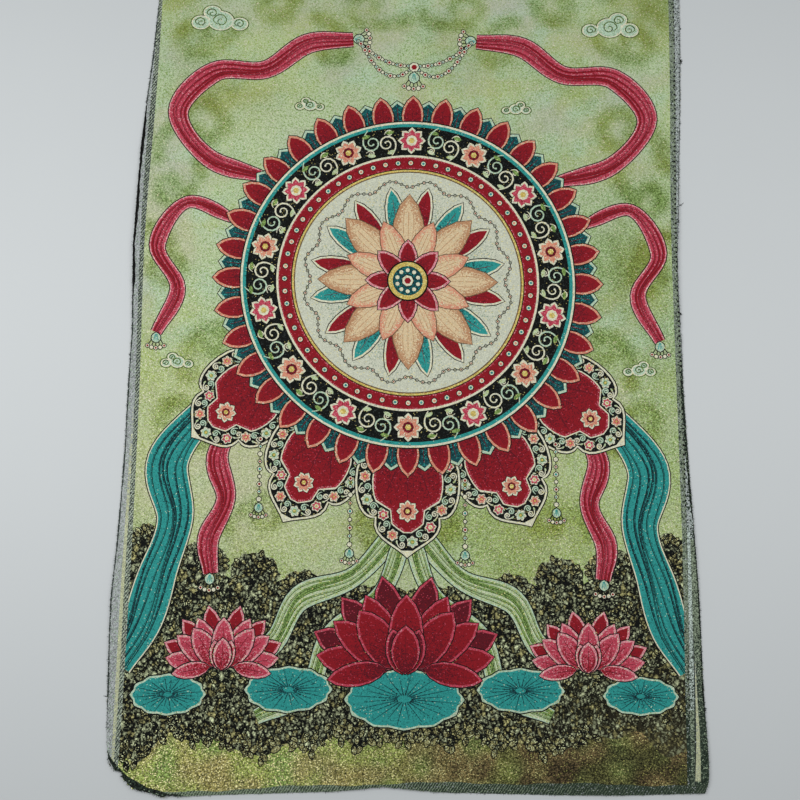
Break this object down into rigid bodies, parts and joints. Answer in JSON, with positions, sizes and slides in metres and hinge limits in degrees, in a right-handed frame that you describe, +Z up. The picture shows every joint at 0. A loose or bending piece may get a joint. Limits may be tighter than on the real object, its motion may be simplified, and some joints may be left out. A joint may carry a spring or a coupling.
{
  "type": "woven thangka panel",
  "caption": "Flat rectangular panel of figured brocade with a woven picture field, narrow side margins and a twill band at its foot, cut by hand and laid face up.",
  "frame": {"origin": "under the middle of the panel's box, on the surface that the cloth rests on", "axes": "+X across the cloth to the right of the picture, +Y up the picture, +Z up out of its face"},
  "size_m": [0.6206, 0.9, 0.0048],
  "materials": {
    "brocade": "matt yarns with fine gold metallic thread, woven"
  },
  "bodies": {
    "root": {"woven_panel": "brocade"}
  },
  "joints": []
}
